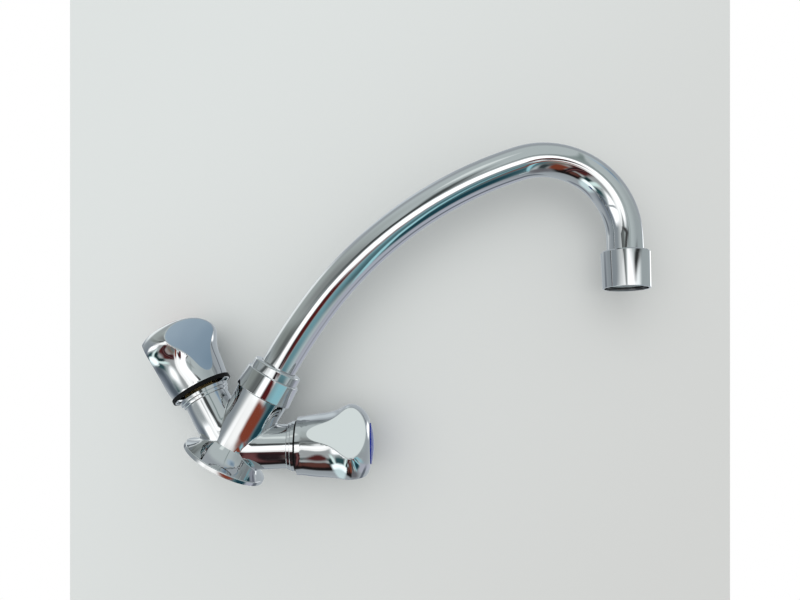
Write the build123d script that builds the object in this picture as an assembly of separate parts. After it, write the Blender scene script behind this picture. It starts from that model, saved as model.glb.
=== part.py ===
from build123d import *
import math
import os

# Two-handle kitchen mixer: one cast body with two valves, and a swan-neck spout that swivels on it.
# The column stands along +Z, the cold arm leans over +X, and the user stands at -Y.
# Lengths are in millimetres and angles in degrees. The origin is the middle of the base's underside.

# Cast body
base_radius = 23.8
base_rim_height = 2.1
base_rim_round = 0.7
flare_top_height = 11.8
flare_sag = 0.9
column_foot_radius = 13.6
column_top_radius = 14.9
column_height = 42.3
neck_radius = 13.4
neck_length = 8.7
arm_height = 9.35
arm_tilt = 59.7
arm_sweep = 2.8
arm_length = 31.0
arm_root_radius = 12.5
arm_end_radius = 11.9
joint_round = 0.8

# Waterways inside the body
socket_radius = 11.6
socket_depth = 17.0
mixing_radius = 8.0
mixing_depth = 9.0
valve_thread_radius = 8.4
valve_thread_depth = 11.5
valve_chamber_radius = 7.5
seat_depth = 16.6
seat_rim_height = 1.0
seat_hole_radius = 4.0
seat_rim_width = 1.2
transfer_radius = 3.2
inlet_spacing = 14.0
inlet_forward = 2.5
inlet_thread_radius = 4.46
inlet_thread_depth = 10.0
inlet_bore_radius = 3.4
stud_setback = 7.5
stud_thread_radius = 3.32
stud_thread_depth = 12.0

# Gaps between pieces
thread_gap = 0.10
bearing_gap = 0.05
sliding_gap = 0.20
turning_gap = 0.08
swivel_gap = 0.20
seal_gap = 0.05

# Seal under the base
base_seal_radius = 19.5
base_seal_section = 2.4

# Collar that holds the spout down, with its stepped lip
collar_foot_radius = 16.15
collar_top_radius = 15.45
collar_length = 11.9
lip_radius = 14.0
lip_length = 5.6
collar_round = 0.5
lip_round = 1.3
glide_thickness = 1.0
glide_radius = 12.7
tube_entry_gap = 0.35

# Spout
tube_radius = 10.0
tube_wall = 1.0
tube_engagement = 5.5
straight_above_lip = 2.1
spout_bends = ((324.8, 6.47), (234.3, 36.6), (46.2, 108.7))
outlet_straight = 8.8
sleeve_floor_gap = 1.0
sleeve_flange_radius = 12.4
sleeve_flange_height = 2.0
spout_groove_offsets = (3.0, 7.0)
spout_groove_depth = 1.4
spout_groove_width = 1.8
braze_gap = 0.05

# Outlet: ferrule brazed on the tube, and the aerator that screws up inside it
ferrule_top_radius = 13.5
ferrule_mouth_radius = 13.05
ferrule_length = 21.5
ferrule_chamfer = 0.8
ferrule_round = 0.3
ferrule_overlap = 6.0
ferrule_stop = 2.5
aerator_thread_radius = 11.9
aerator_skirt_radius = 11.1
aerator_thread_length = 6.5
aerator_recess = 1.0
aerator_bore_radius = 10.5
aerator_lip_radius = 9.6
aerator_lip_height = 0.8
aerator_washer_radius = 11.5
aerator_washer_thickness = 1.5
insert_hole_radius = 1.2
insert_hole_pitch = 3.6
screen_thickness = 0.6
screen_hole_radius = 0.75
screen_hole_pitch = 2.6
insert_rim = 1.3

# Trim between the arm and the knob
trim_bore_radius = 10.0
trim_step_radius = 12.8
trim_step_height = 1.9
trim_rim_radius = 13.6
trim_rim_height = 2.0
trim_round = 0.4
skirt_seal_radius = 13.7
skirt_seal_thickness = 1.2
skirt_band_wall = 0.75
skirt_band_height = 2.4
skirt_band_round = 0.35

# Headwork: bonnet, spindle and the valve that slides on the spindle's thread
bonnet_flange_radius = 9.6
bonnet_flange_height = 1.15
bonnet_seal_thickness = 0.8
bonnet_seal_inner_radius = 8.5
bonnet_seal_outer_radius = 9.5
bonnet_hex_size = 17.0
bonnet_hex_height = 5.0
bonnet_tube_radius = 6.2
bonnet_tube_length = 8.0
guide_radius = 6.3
guide_flats = 11.2
guide_rise = 2.4
spindle_radius = 4.0
spindle_collar_radius = 5.3
spindle_collar_height = 1.55
spindle_thread_radius = 3.4
spindle_groove_offsets = (2.8, 6.4)
spindle_groove_depth = 0.9
spindle_groove_width = 1.5
clip_groove_depth = 0.5
clip_thickness = 0.7
clip_radius = 5.4
clip_opening = 3.0
spline_gap = 0.5
spline_length = 7.6
spline_tip_radius = 3.9
spline_root_radius = 3.5
spline_teeth = 20
valve_washer_thickness = 2.5
valve_travel = 5.0
travel_clearance = 0.3
piston_floor = 2.5
washer_screw_radius = 1.15
washer_screw_head_radius = 2.6
washer_screw_head_height = 1.2

# Knob
knob_base_radius = 15.8
knob_waist_radius = 17.0
knob_waist_height = 10.4
knob_hip_radius = 19.3
knob_hip_height = 22.4
knob_lobe_radius = 22.1
knob_lobe_height = 29.4
knob_shoulder_radius = 18.2
knob_shoulder_height = 37.2
knob_face_radius = 12.6
knob_length = 40.2
knob_wall = 2.2
skirt_bore_radius = 14.9
skirt_bore_depth = 2.0
facet_count = 3
facet_distance = 16.4
facet_lean = 0.4
facet_round = 0.8
boss_radius = 7.0
boss_gap = 0.6
boss_web = 2.0
cap_tube_radius = 9.8
cap_recess_radius = 8.0
knob_screw_radius = 1.9
knob_screw_length = 9.0
knob_screw_head_radius = 3.6
knob_screw_head_height = 2.4
screw_slot_width = 1.0
screw_slot_depth = 1.0
index_radius = 11.2
index_thickness = 0.8
index_dome = 2.2
index_skirt_height = 4.0
index_skirt_wall = 1.2
cold_knob_turn = -29.0
hot_knob_turn = 47.0

FROM_BASE = (Align.CENTER, Align.CENTER, Align.MIN)
SIDES = {"cold": 1, "hot": -1}
KNOB_TURNS = {"cold": cold_knob_turn, "hot": hot_knob_turn}
TURNED_PIECES = ("knob", "index_button", "knob_screw", "spindle", "spindle_clip")

# Heights on the column, counted up from the underside
neck_top = column_height + neck_length
socket_floor = neck_top - socket_depth
mixing_floor = socket_floor - mixing_depth
lower_glide_foot = neck_top + bearing_gap
sleeve_flange_foot = lower_glide_foot + glide_thickness + bearing_gap
sleeve_flange_top = sleeve_flange_foot + sleeve_flange_height
upper_glide_foot = sleeve_flange_top + bearing_gap
collar_shoulder = upper_glide_foot + glide_thickness + bearing_gap
collar_foot = column_height + swivel_gap
collar_step = collar_foot + collar_length
lip_top = collar_step + lip_length
tube_foot = neck_top - tube_engagement
sleeve_foot = socket_floor + sleeve_floor_gap
bend_start = lip_top + straight_above_lip

# Places along a valve's axis, counted outwards from the arm's end face
chamber_floor = -seat_depth - seat_rim_height
trim_foot = bearing_gap
trim_step = trim_foot + trim_step_height
trim_top = trim_step + trim_rim_height
skirt_seal_foot = trim_top + bearing_gap
skirt_seal_top = skirt_seal_foot + skirt_seal_thickness
knob_foot = skirt_seal_top + bearing_gap
bonnet_shoulder = bonnet_seal_thickness + bearing_gap
bonnet_flange_top = bonnet_shoulder + bonnet_flange_height
bonnet_hex_top = bonnet_flange_top + bonnet_hex_height
bonnet_top = bonnet_hex_top + bonnet_tube_length
guide_top = bonnet_flange_top + guide_rise
spindle_collar_top = guide_top - bearing_gap
spindle_collar_foot = spindle_collar_top - spindle_collar_height
clip_foot = bonnet_top + bearing_gap
clip_groove_top = clip_foot + clip_thickness + bearing_gap
spline_foot = clip_groove_top + spline_gap
spline_top = spline_foot + spline_length
boss_foot = spline_foot + boss_gap
web_top = spline_top + boss_web
knob_top = knob_foot + knob_length
valve_washer_radius = guide_flats / 2 - sliding_gap
washer_face = -seat_depth + bearing_gap
piston_foot = washer_face + valve_washer_thickness + bearing_gap
piston_top = spindle_collar_foot - valve_travel - travel_clearance
piston_bore_floor = piston_foot + piston_floor
spindle_tip = piston_bore_floor + valve_travel + travel_clearance

# Places along the outlet's axis, counted outwards from the ferrule's top
ferrule_shelf = ferrule_overlap + ferrule_stop
aerator_washer_foot = ferrule_shelf + bearing_gap
aerator_top = aerator_washer_foot + aerator_washer_thickness + bearing_gap
aerator_foot = ferrule_length - aerator_recess
aerator_lip = aerator_foot - aerator_lip_height
screen_low = aerator_lip - bearing_gap - screen_thickness
insert_foot = screen_low - bearing_gap
insert_radius = aerator_bore_radius - thread_gap
spindle_bore_radius = spindle_radius + turning_gap
sleeve_radius = socket_radius - swivel_gap
spout_bore_radius = tube_radius - tube_wall


def turned(*corners):
    """Solid of revolution about Z through straight-sided (radius, height) corners."""
    outline = Polyline(*[(radius, 0, height) for radius, height in corners], close=True)
    return revolve(make_face(outline), Axis.Z)


def turned_edges(*edges):
    """Solid of revolution about Z inside a closed run of edges in the XZ plane."""
    return revolve(Face(Wire(edges)), Axis.Z)


def ring(inner, outer, low, high):
    """Plain ring between two radii and two heights."""
    return turned((inner, low), (outer, low), (outer, high), (inner, high))


def rod(radius, low, high):
    """Plain cylinder on Z between two heights."""
    return Pos(0, 0, low) * Cylinder(radius, high - low, align=FROM_BASE)


def rounded(solid, height, radius, amount):
    """Round the edges of a turned solid that run round it at this height and radius."""
    chosen = [
        edge
        for edge in solid.edges()
        if edge.geom_type == GeomType.CIRCLE
        and abs(edge.center().Z - height) < 0.01
        and abs(edge.radius - radius) < 0.01
    ]
    return fillet(chosen, amount)


def seal_ring(groove_radius, bore_radius, height):
    """Round-section seal that fills the space between a groove's floor and a bore."""
    middle = (groove_radius + bore_radius) / 2
    section = (bore_radius - groove_radius) / 2 - seal_gap
    return Pos(0, 0, height) * Torus(middle, section)


def groove(outer, depth, height, width):
    """Ring to cut away for a groove in a shaft, centred on a height."""
    return ring(outer - depth, outer + depth, height - width / 2, height + width / 2)


def drilled(start, finish, radius):
    """Round hole from one point to another."""
    way = finish - start
    return Plane(origin=start, z_dir=way) * Cylinder(radius, way.length, align=FROM_BASE)


def arm_place(side):
    """Frame on an arm's axis, with its origin on the column's axis and +X towards the user."""
    lean = math.radians(arm_tilt)
    sweep = math.radians(arm_sweep)
    sideways = side * math.sin(lean) * math.cos(sweep)
    outward = (sideways, math.sin(lean) * math.sin(sweep), math.cos(lean))
    return Plane(origin=(0, 0, arm_height), x_dir=(0, -1, 0), z_dir=outward).location


def valve_place(side):
    """Frame on an arm's axis, with its origin in the middle of the arm's end face."""
    return arm_place(side) * Pos(0, 0, arm_length)


def base_flange():
    """Trumpet foot of the body, from its flat underside to the column."""
    middle_x = (base_radius + column_foot_radius) / 2 - flare_sag
    middle_z = (base_rim_height + flare_top_height) / 2 - flare_sag
    return turned_edges(
        Line((0, 0, 0), (base_radius, 0, 0)),
        Line((base_radius, 0, 0), (base_radius, 0, base_rim_height)),
        ThreePointArc(
            (base_radius, 0, base_rim_height),
            (middle_x, 0, middle_z),
            (column_foot_radius, 0, flare_top_height),
        ),
        Line((column_foot_radius, 0, flare_top_height), (0, 0, flare_top_height)),
        Line((0, 0, flare_top_height), (0, 0, 0)),
    )


def valve_bore():
    """Thread, chamber, raised seat and seat hole cut into an arm from its end face."""
    bore = rod(valve_thread_radius, -valve_thread_depth, bearing_gap)
    bore += rod(valve_chamber_radius, chamber_floor, -valve_thread_depth)
    bore -= ring(seat_hole_radius, seat_hole_radius + seat_rim_width, chamber_floor, -seat_depth)
    inlet_reach = arm_length - inlet_spacing / 2
    return bore + rod(seat_hole_radius, -inlet_reach, chamber_floor)


def transfer_hole(side):
    """Hole that leads from a valve chamber up into the mixing chamber."""
    chamber = valve_place(side) * Pos(0, 0, -seat_depth + valve_chamber_radius / 2)
    finish = Vector(0, 0, mixing_floor + transfer_radius)
    return drilled(chamber.position, finish, transfer_radius)


def mixer_body():
    """Cast body: base, column, threaded neck and two arms, with its waterways cut through."""
    cone_height = column_height - base_rim_height
    column = Cone(column_foot_radius, column_top_radius, cone_height, align=FROM_BASE)
    body = base_flange() + Pos(0, 0, base_rim_height) * column
    for side in SIDES.values():
        body += arm_place(side) * Cone(arm_root_radius, arm_end_radius, arm_length, align=FROM_BASE)
    body &= rod(base_radius + arm_length, 0, neck_top)
    body = fillet(body.edges().filter_by(GeomType.BSPLINE), joint_round)
    body = rounded(body, base_rim_height, base_radius, base_rim_round)
    body += rod(neck_radius, column_height, neck_top)
    body -= rod(socket_radius, socket_floor, neck_top)
    body -= rod(mixing_radius, mixing_floor, socket_floor)
    inlet_top = arm_height + inlet_spacing / 2 / math.tan(math.radians(arm_tilt))
    inlet = rod(inlet_thread_radius, 0, inlet_thread_depth)
    inlet += rod(inlet_bore_radius, inlet_thread_depth, inlet_top)
    for side in SIDES.values():
        body -= valve_place(side) * valve_bore()
        body -= transfer_hole(side)
        body -= Pos(side * inlet_spacing / 2, -inlet_forward, 0) * inlet
    body -= Pos(0, stud_setback, 0) * rod(stud_thread_radius, 0, stud_thread_depth)
    half_seal = base_seal_section / 2
    return body - ring(base_seal_radius - half_seal, base_seal_radius + half_seal, 0, base_seal_section)


def base_seal():
    """Seal ring in the groove under the base, flush with the underside."""
    section = base_seal_section / 2 - seal_gap
    return Pos(0, 0, section) * Torus(base_seal_radius, section)


def glide_ring(inner, low):
    """Plastic washer that the spout's flange turns on."""
    return ring(inner, glide_radius, low, low + glide_thickness)


def collar_nut():
    """Round nut over the neck, tapered outside, with a stepped lip round the tube."""
    nut = turned(
        (neck_radius + thread_gap, collar_foot),
        (collar_foot_radius, collar_foot),
        (collar_top_radius, collar_step),
        (lip_radius, collar_step),
        (lip_radius, lip_top),
        (tube_radius + tube_entry_gap, lip_top),
        (tube_radius + tube_entry_gap, collar_shoulder),
        (glide_radius + swivel_gap, collar_shoulder),
        (glide_radius + swivel_gap, neck_top),
        (neck_radius + thread_gap, neck_top),
    )
    nut = rounded(nut, lip_top, lip_radius, lip_round)
    nut = rounded(nut, collar_step, collar_top_radius, collar_round)
    return rounded(nut, collar_foot, collar_foot_radius, collar_round)


def spout_sleeve():
    """Turned foot of the spout: seal grooves below, flange in the collar, socket for the tube."""
    sleeve = ring(spout_bore_radius, sleeve_radius, sleeve_foot, sleeve_flange_foot)
    sleeve += ring(spout_bore_radius, sleeve_flange_radius, sleeve_flange_foot, sleeve_flange_top)
    sleeve -= rod(tube_radius + braze_gap, tube_foot, sleeve_flange_top)
    for offset in spout_groove_offsets:
        sleeve -= groove(sleeve_radius, spout_groove_depth, sleeve_foot + offset, spout_groove_width)
    return sleeve


def spout_seals():
    """Two seal rings in the sleeve's grooves."""
    floor = sleeve_radius - spout_groove_depth
    return [seal_ring(floor, socket_radius, sleeve_foot + offset) for offset in spout_groove_offsets]


def spout_path():
    """Centre line of the tube in the XZ plane, and the place on it of the ferrule's top."""
    x = 0
    z = bend_start
    lean = 0
    edges = [Line((0, 0, tube_foot), (0, 0, bend_start))]
    for radius, turn in spout_bends:
        centre_x = x + radius * math.cos(lean)
        centre_z = z - radius * math.sin(lean)
        points = [(x, 0, z)]
        for share in (0.5, 1.0):
            angle = lean + share * math.radians(turn)
            x = centre_x - radius * math.cos(angle)
            z = centre_z + radius * math.sin(angle)
            points.append((x, 0, z))
        lean += math.radians(turn)
        edges.append(ThreePointArc(*points))
    heading = Vector(math.sin(lean), 0, math.cos(lean))
    ferrule_top = Vector(x, 0, z) + heading * outlet_straight
    edges.append(Line((x, 0, z), ferrule_top + heading * ferrule_overlap))
    return Wire(edges), Plane(origin=ferrule_top, x_dir=(0, 1, 0), z_dir=heading).location


def spout_tube():
    """Bent tube from inside the sleeve to inside the ferrule."""
    path, _ = spout_path()
    section = Circle(tube_radius) - Circle(spout_bore_radius)
    return sweep(Pos(0, 0, tube_foot) * section, path=path)


def spout_ferrule():
    """Tapered end of the spout, brazed on the tube, with a thread for the aerator below."""
    ferrule = turned(
        (spout_bore_radius, 0),
        (ferrule_top_radius - ferrule_chamfer, 0),
        (ferrule_top_radius, ferrule_chamfer),
        (ferrule_mouth_radius, ferrule_length),
        (aerator_thread_radius + thread_gap, ferrule_length),
        (aerator_thread_radius + thread_gap, ferrule_shelf),
        (spout_bore_radius, ferrule_shelf),
    )
    ferrule = rounded(ferrule, ferrule_length, ferrule_mouth_radius, ferrule_round)
    return ferrule - rod(tube_radius + braze_gap, 0, ferrule_overlap)


def aerator_washer():
    """Rubber washer between the ferrule's shelf and the aerator."""
    return ring(spout_bore_radius, aerator_washer_radius, aerator_washer_foot, aerator_top - bearing_gap)


def aerator_shell():
    """Threaded ring that holds the aerator's insert and screen, with a turned-in lip."""
    return turned(
        (aerator_bore_radius, aerator_top),
        (aerator_thread_radius, aerator_top),
        (aerator_thread_radius, aerator_top + aerator_thread_length),
        (aerator_skirt_radius, aerator_top + aerator_thread_length),
        (aerator_skirt_radius, aerator_foot),
        (aerator_lip_radius, aerator_foot),
        (aerator_lip_radius, aerator_lip),
        (aerator_bore_radius, aerator_lip),
    )


def perforated(low, high, pitch, hole_radius):
    """Round plate with a triangular grid of through holes inside its solid rim."""
    reach = insert_radius - insert_rim - hole_radius
    rows = math.ceil(reach / pitch) + 1
    plate = Circle(insert_radius)
    for row in range(-rows, rows + 1):
        for column in range(-2 * rows, 2 * rows + 1):
            x = pitch * (column + row / 2)
            y = pitch * row * math.sqrt(3) / 2
            if math.hypot(x, y) < reach:
                plate -= Pos(x, y) * Circle(hole_radius)
    return Pos(0, 0, low) * extrude(plate, high - low)


def aerator_insert():
    """Plastic core with straight water channels."""
    return perforated(aerator_top, insert_foot, insert_hole_pitch, insert_hole_radius)


def aerator_screen():
    """Perforated metal screen that lies on the shell's lip."""
    high = screen_low + screen_thickness
    return perforated(screen_low, high, screen_hole_pitch, screen_hole_radius)


def trim_ring():
    """Two-step ring that covers the joint between an arm and its bonnet."""
    trim = turned(
        (trim_bore_radius, trim_foot),
        (trim_step_radius, trim_foot),
        (trim_step_radius, trim_step),
        (trim_rim_radius, trim_step),
        (trim_rim_radius, trim_top),
        (trim_bore_radius, trim_top),
    )
    trim = rounded(trim, trim_foot, trim_step_radius, trim_round)
    return rounded(trim, trim_step, trim_rim_radius, trim_round)


def tucked_seal():
    """Flat rubber ring in its place between the trim ring and the knob's skirt."""
    seal = ring(trim_bore_radius, skirt_seal_radius, skirt_seal_foot, skirt_seal_top)
    return rounded(seal, skirt_seal_foot, skirt_seal_radius, trim_round)


def slipped_seal():
    """Rubber ring that has slipped up over the foot of the knob's skirt."""
    inner = knob_base_radius + bearing_gap
    outer = inner + skirt_band_wall
    band = ring(inner, outer, knob_foot, knob_foot + skirt_band_height)
    for height in (knob_foot, knob_foot + skirt_band_height):
        band = rounded(band, height, outer, skirt_band_round)
    return band


def bonnet():
    """Brass headwork body: thread, flange, hexagon and the tube that guides the spindle."""
    body = rod(valve_thread_radius - thread_gap, -valve_thread_depth, bonnet_shoulder)
    body += rod(bonnet_flange_radius, bonnet_shoulder, bonnet_flange_top)
    hexagon = RegularPolygon(bonnet_hex_size / 2, 6, major_radius=False)
    body += Pos(0, 0, bonnet_flange_top) * extrude(hexagon, bonnet_hex_height)
    body += rod(bonnet_tube_radius, bonnet_hex_top, bonnet_top)
    guide = Circle(guide_radius) & Rectangle(guide_flats, 2 * guide_radius)
    body -= Pos(0, 0, -valve_thread_depth) * extrude(guide, valve_thread_depth + guide_top)
    return body - rod(spindle_bore_radius, guide_top, bonnet_top)


def bonnet_seal():
    """Flat seal between the bonnet's flange and the arm's end face."""
    low = bearing_gap / 2
    return ring(bonnet_seal_inner_radius, bonnet_seal_outer_radius, low, low + bonnet_seal_thickness)


def splined(gap, low, high):
    """Toothed shaft, or with a gap the socket that it slides into."""
    points = []
    for index in range(2 * spline_teeth):
        radius = spline_root_radius + gap if index % 2 else spline_tip_radius + gap
        angle = math.pi * index / spline_teeth
        points.append((radius * math.cos(angle), radius * math.sin(angle)))
    return Pos(0, 0, low) * extrude(make_face(Polyline(*points, close=True)), high - low)


def spindle():
    """Non-rising spindle: drive thread, thrust collar, seal grooves, clip groove and splines."""
    shaft = rod(spindle_thread_radius, spindle_tip, spindle_collar_foot)
    shaft += rod(spindle_collar_radius, spindle_collar_foot, spindle_collar_top)
    shaft += rod(spindle_radius, spindle_collar_top, spline_foot)
    shaft += splined(0, spline_foot, spline_top)
    for offset in spindle_groove_offsets:
        shaft -= groove(spindle_radius, spindle_groove_depth, guide_top + offset, spindle_groove_width)
    clip_middle = (bonnet_top + clip_groove_top) / 2
    shaft -= groove(spindle_radius, clip_groove_depth, clip_middle, clip_groove_top - bonnet_top)
    screw_depth = knob_screw_length - boss_web
    return shaft - rod(knob_screw_radius + thread_gap, spline_top - screw_depth, spline_top)


def spindle_seals():
    """Two seal rings in the spindle's grooves."""
    floor = spindle_radius - spindle_groove_depth
    return [seal_ring(floor, spindle_bore_radius, guide_top + offset) for offset in spindle_groove_offsets]


def spindle_clip():
    """Open clip that sits in the spindle's groove on top of the bonnet."""
    inner = spindle_radius - clip_groove_depth + bearing_gap
    clip = ring(inner, clip_radius, clip_foot, clip_foot + clip_thickness)
    return clip - Pos(clip_radius, 0, clip_foot) * Box(2 * clip_radius, clip_opening, 2 * clip_thickness)


def valve_washer():
    """Rubber washer that closes on the seat."""
    high = washer_face + valve_washer_thickness
    return ring(washer_screw_radius + bearing_gap, valve_washer_radius, washer_face, high)


def valve_piston():
    """Carrier with two flats that rides in the bonnet and is driven by the spindle's thread."""
    radius = guide_radius - sliding_gap
    outline = Circle(radius) & Rectangle(guide_flats - 2 * sliding_gap, 2 * radius)
    piston = Pos(0, 0, piston_foot) * extrude(outline, piston_top - piston_foot)
    piston -= rod(spindle_thread_radius + thread_gap, piston_bore_floor, piston_top)
    return piston - rod(washer_screw_radius + bearing_gap, piston_foot, piston_bore_floor)


def washer_screw():
    """Screw that holds the washer to the piston, with its head inside the seat's hole."""
    head_top = washer_face - bearing_gap
    head = rod(washer_screw_head_radius, head_top - washer_screw_head_height, head_top)
    return head + rod(washer_screw_radius, head_top, piston_bore_floor)


def knob_form(inset):
    """Outer form of the knob from its skirt to its end face, shrunk by an inset all round."""
    foot = (knob_base_radius - inset, 0, 0)
    skirt = (knob_base_radius - inset, 0, skirt_band_height)
    waist = (knob_waist_radius - inset, 0, knob_waist_height)
    hip = (knob_hip_radius - inset, 0, knob_hip_height)
    lobe = (knob_lobe_radius - inset, 0, knob_lobe_height - inset / 2)
    shoulder = (knob_shoulder_radius - inset, 0, knob_shoulder_height - inset)
    face = (knob_face_radius - inset, 0, knob_length - inset)
    centre = (0, 0, knob_length - inset)
    form = turned_edges(
        Line((0, 0, 0), foot),
        Line(foot, skirt),
        Spline(skirt, waist, hip, lobe, shoulder, face),
        Line(face, centre),
        Line(centre, (0, 0, 0)),
    )
    size = 3 * knob_length
    cutter = Box(size, size, size, align=(Align.MIN, Align.CENTER, Align.CENTER))
    for index in range(facet_count):
        turn = Rot(0, 0, index * 360 / facet_count)
        form -= turn * Pos(facet_distance - inset, 0, 0) * Rot(0, facet_lean, 0) * cutter
    return Pos(0, 0, knob_foot) * form


def facet_edges(form):
    """Edges round the leaning flat facets of a knob's form."""
    planes = form.faces().filter_by(GeomType.PLANE)
    facets = [face for face in planes if abs(face.normal_at().Z) < math.sin(math.radians(45))]
    return [edge for face in facets for edge in face.edges()]


def knob():
    """Hollow three-lobed knob with a splined boss and a recess for its screw and index button."""
    outer = knob_form(0)
    outer = fillet(facet_edges(outer), facet_round)
    core = rod(boss_radius, boss_foot, web_top) + rod(cap_tube_radius, spline_top, knob_top)
    shell = outer - knob_form(knob_wall)
    shell += core & outer
    shell -= rod(skirt_bore_radius, knob_foot, knob_foot + skirt_bore_depth)
    shell -= rod(cap_recess_radius, web_top, knob_top)
    shell -= rod(index_radius + bearing_gap, knob_top - index_thickness, knob_top)
    shell -= splined(bearing_gap, boss_foot, spline_top)
    return shell - rod(knob_screw_radius + thread_gap, spline_top, web_top)


def knob_screw():
    """Pan-head screw that holds the knob on the spindle."""
    under_head = web_top + bearing_gap
    head_top = under_head + knob_screw_head_height
    shank = rod(knob_screw_radius, under_head - knob_screw_length, under_head)
    head = rod(knob_screw_head_radius, under_head, head_top)
    slot = Box(2 * knob_screw_head_radius, screw_slot_width, 2 * screw_slot_depth)
    return shank + head - Pos(0, 0, head_top) * slot


def index_button():
    """Domed coloured button that snaps into the knob's end."""
    foot = knob_top - index_thickness + bearing_gap
    dome_top = knob_top + index_dome
    dome_radius = (index_radius**2 + index_dome**2) / (2 * index_dome)
    button = rod(index_radius, foot, dome_top) & Pos(0, 0, dome_top - dome_radius) * Sphere(dome_radius)
    skirt = cap_recess_radius - thread_gap
    return button + ring(skirt - index_skirt_wall, skirt, foot - index_skirt_height, foot)


def valve_pieces(seal):
    """Pieces of one valve and its knob with this skirt seal, each in the valve's frame."""
    return {
        "bonnet": bonnet(),
        "bonnet_seal": bonnet_seal(),
        "trim_ring": trim_ring(),
        "skirt_seal": seal,
        "spindle": spindle(),
        "spindle_seals": spindle_seals(),
        "spindle_clip": spindle_clip(),
        "valve_piston": valve_piston(),
        "valve_washer": valve_washer(),
        "washer_screw": washer_screw(),
        "knob_screw": knob_screw(),
        "knob": knob(),
        "index_button": index_button(),
    }


def placed(place, piece):
    """Move one piece, or a group of like pieces, to its place."""
    if isinstance(piece, list):
        return Compound(children=[place * solid for solid in piece])
    return place * piece


def tap_pieces():
    """Every piece of the tap in its place, by node name."""
    _, outlet = spout_path()
    pieces = {
        "mixer_body": mixer_body(),
        "base_seal": base_seal(),
        "lower_glide_ring": glide_ring(socket_radius, lower_glide_foot),
        "upper_glide_ring": glide_ring(tube_radius + tube_entry_gap, upper_glide_foot),
        "collar_nut": collar_nut(),
        "spout_sleeve": spout_sleeve(),
        "spout_seals": placed(Location(), spout_seals()),
        "spout_tube": spout_tube(),
        "spout_ferrule": outlet * spout_ferrule(),
        "aerator_washer": outlet * aerator_washer(),
        "aerator_shell": outlet * aerator_shell(),
        "aerator_insert": outlet * aerator_insert(),
        "aerator_screen": outlet * aerator_screen(),
    }
    for side_name, side in SIDES.items():
        for name, piece in valve_pieces(SKIRT_SEALS[side_name]()).items():
            place = valve_place(side)
            if name in TURNED_PIECES:
                place = place * Rot(0, 0, KNOB_TURNS[side_name])
            pieces[f"{side_name}_{name}"] = placed(place, piece)
    return pieces


SKIRT_SEALS = {"cold": tucked_seal, "hot": slipped_seal}

if __name__ == "__main__":
    os.makedirs("parts", exist_ok=True)
    for name, piece in tap_pieces().items():
        export_step(piece, f"parts/{name}.step")
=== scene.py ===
"""Looks of a chrome two-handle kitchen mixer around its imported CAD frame.

Every length is in metres, in the frame of the CAD part: +Z up the column, +X towards the outlet, -Y
towards the user. The tap lies on its back on a pale table, so the table is a plane behind it, square to Y.
"""

import logging
import math
from dataclasses import dataclass, field
from enum import Enum
from typing import Callable

import bmesh
import bpy
from mathutils import Color, Matrix, Vector


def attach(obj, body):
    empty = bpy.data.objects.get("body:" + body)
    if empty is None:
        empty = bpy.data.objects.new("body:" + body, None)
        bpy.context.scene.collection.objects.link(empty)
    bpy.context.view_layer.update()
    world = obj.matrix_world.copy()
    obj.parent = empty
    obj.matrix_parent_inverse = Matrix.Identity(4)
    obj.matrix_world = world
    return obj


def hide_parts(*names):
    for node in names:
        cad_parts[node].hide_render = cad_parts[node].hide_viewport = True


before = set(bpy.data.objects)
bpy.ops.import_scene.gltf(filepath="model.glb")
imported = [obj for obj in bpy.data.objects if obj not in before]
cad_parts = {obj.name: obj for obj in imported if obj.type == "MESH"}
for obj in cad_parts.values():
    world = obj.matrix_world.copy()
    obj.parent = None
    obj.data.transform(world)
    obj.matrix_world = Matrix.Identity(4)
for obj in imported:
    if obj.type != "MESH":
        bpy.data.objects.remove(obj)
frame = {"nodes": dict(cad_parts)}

log = logging.getLogger("kitchen_tap")

MM = 0.001

# Sockets of a Mix node that mixes colours: its two colours and its result
MIX_FIRST, MIX_SECOND, MIX_RESULT = 6, 7, 2

# Least height of a face's normal for the face to count as looking up or down
UPRIGHT = 0.9


class Finish(Enum):
    """Finishes that the tap's pieces can have."""

    CAST_CHROME = "cast_chrome"
    TURNED_CHROME = "turned_chrome"
    TUBE_CHROME = "tube_chrome"
    KNOB_CHROME = "knob_chrome"
    BRASS = "brass"
    STEEL = "steel"
    SCREEN = "screen"
    RUBBER = "rubber"
    GLIDE = "glide"
    BLACK_PLASTIC = "black_plastic"
    COLD_BUTTON = "cold_button"
    HOT_BUTTON = "hot_button"
    CLEAR_CAP = "clear_cap"


class Side(Enum):
    """The two sides of the mixer."""

    COLD = 1
    HOT = -1

    @property
    def label(self) -> str:
        """Give the side's name as the record writes it."""
        return self.name.lower()


class Socket(Enum):
    """Kinds of socket that the shared node groups have."""

    NUMBER = "NodeSocketFloat"
    VECTOR = "NodeSocketVector"
    COLOUR = "NodeSocketColor"


def opaque(colour: tuple[float, float, float]) -> tuple[float, ...]:
    """Add a full alpha to a colour."""
    return (*colour, 1.0)


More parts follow.
